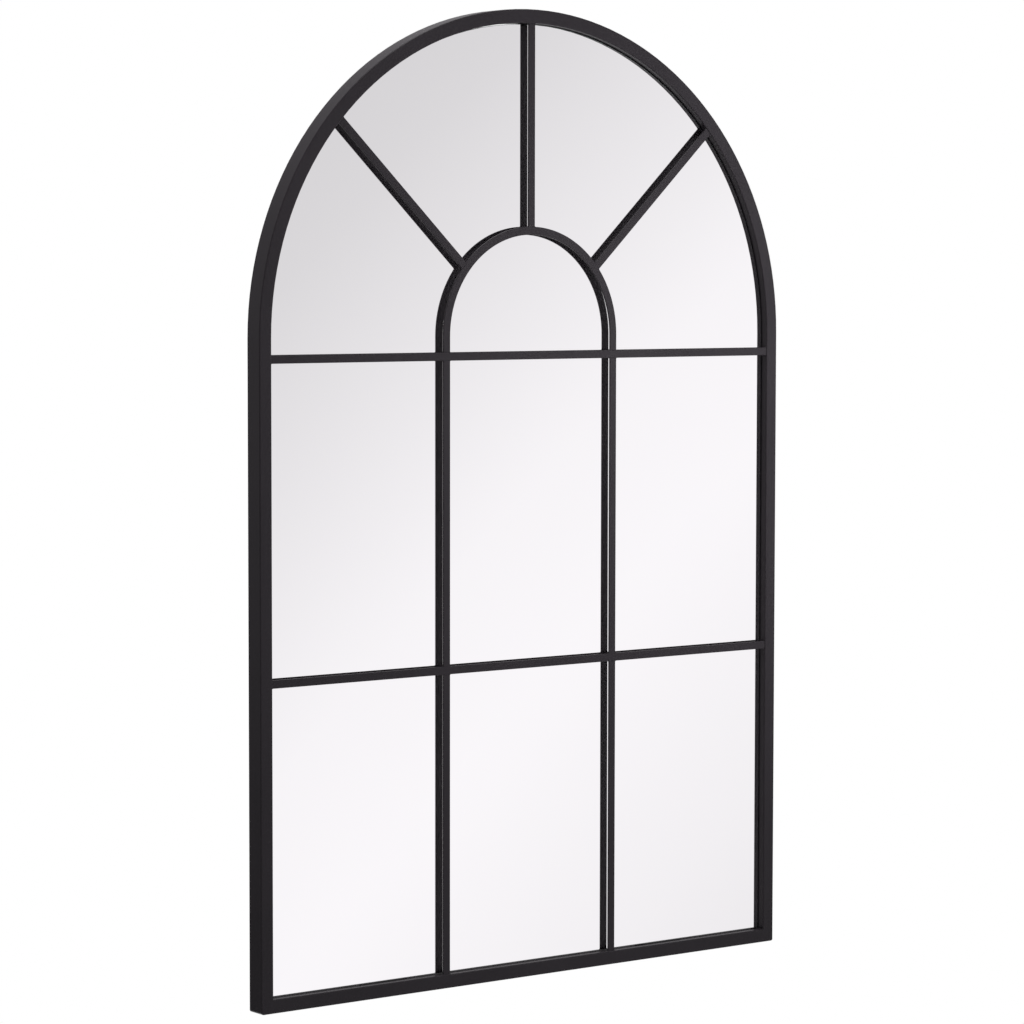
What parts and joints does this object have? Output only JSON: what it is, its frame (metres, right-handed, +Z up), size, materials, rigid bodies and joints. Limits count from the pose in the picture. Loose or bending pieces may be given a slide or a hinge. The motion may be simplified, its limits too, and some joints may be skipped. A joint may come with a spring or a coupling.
{
  "type": "arched window mirror",
  "caption": "Wall mirror with an arched black metal frame and a flat-bar window grid in front of the glass, hung on keyhole plates.",
  "frame": {"origin": "midway between the two keyhole entries, in the plane of the frame's back", "axes": "+Z up, -Y the way the mirror faces, +Y into the wall, +X to the right seen from the front"},
  "size_m": [0.8, 0.03, 1.1999],
  "materials": {
    "powder_coat": "satin black powder coat on steel",
    "silvered_glass": "silvered float glass with ground edges",
    "black_rubber": "matt black rubber",
    "foam_tape": "white closed-cell foam tape",
    "hardboard": "smooth brown hardboard",
    "zinc_screw": "bright zinc plate"
  },
  "bodies": {
    "root": {"arch_tube": "powder_coat", "left_stile": "powder_coat", "right_stile": "powder_coat", "bottom_rail": "powder_coat", "upper_crossbar": "powder_coat", "lower_crossbar": "powder_coat", "left_lower_upright": "powder_coat", "left_upper_upright": "powder_coat", "right_lower_upright": "powder_coat", "right_upper_upright": "powder_coat", "small_arch": "powder_coat", "left_spoke": "powder_coat", "centre_spoke": "powder_coat", "right_spoke": "powder_coat", "mirror_glass": "silvered_glass", "setting_strips": "black_rubber", "mounting_tape": "foam_tape", "backing_board": "hardboard", "board_lugs": "powder_coat", "board_screws": "zinc_screw", "left_hanger_plate": "powder_coat", "right_hanger_plate": "powder_coat", "wall_bumpers": "black_rubber"}
  },
  "joints": []
}
